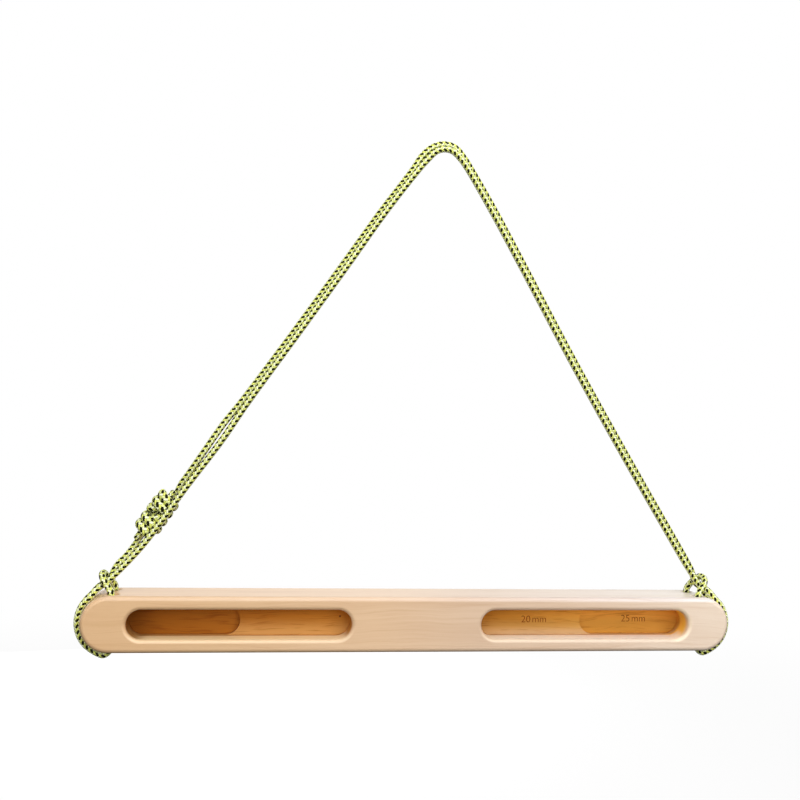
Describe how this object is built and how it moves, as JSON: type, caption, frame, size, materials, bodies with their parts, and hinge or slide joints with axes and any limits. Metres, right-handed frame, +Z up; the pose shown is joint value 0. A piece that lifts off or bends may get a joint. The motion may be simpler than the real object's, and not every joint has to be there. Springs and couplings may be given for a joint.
{
  "type": "portable hangboard",
  "caption": "Solid beech finger board with stadium outline and stepped edge pockets, hung level from a doubled cord sling hitched round both ends.",
  "frame": {"origin": "the hang point: the underside of the inner strand at the sling's apex", "axes": "+X along the board to the right as seen from the front, +Y from the marked front face to the back, +Z up"},
  "size_m": [0.5106, 0.044, 0.4015],
  "materials": {
    "beech": "finely sanded pale beech with a light oil",
    "cord": "woven yellow-green sheath with black flecks"
  },
  "bodies": {
    "sling": {"front_strand": "cord", "back_strand_upper": "cord", "back_strand_lower": "cord", "knot_upper_barrel": "cord", "knot_lower_barrel": "cord"},
    "board": {"board": "beech", "left_hitch": "cord", "right_hitch": "cord"}
  },
  "joints": [
    {"name": "board_tilt", "type": "hinge", "parent": "sling", "child": "board", "pos_m": [-0.015, 0, -0.3344], "axis": [1, 0, 0], "range_deg": [-25, 25], "deforming": ["left_hitch", "right_hitch"]}
  ]
}
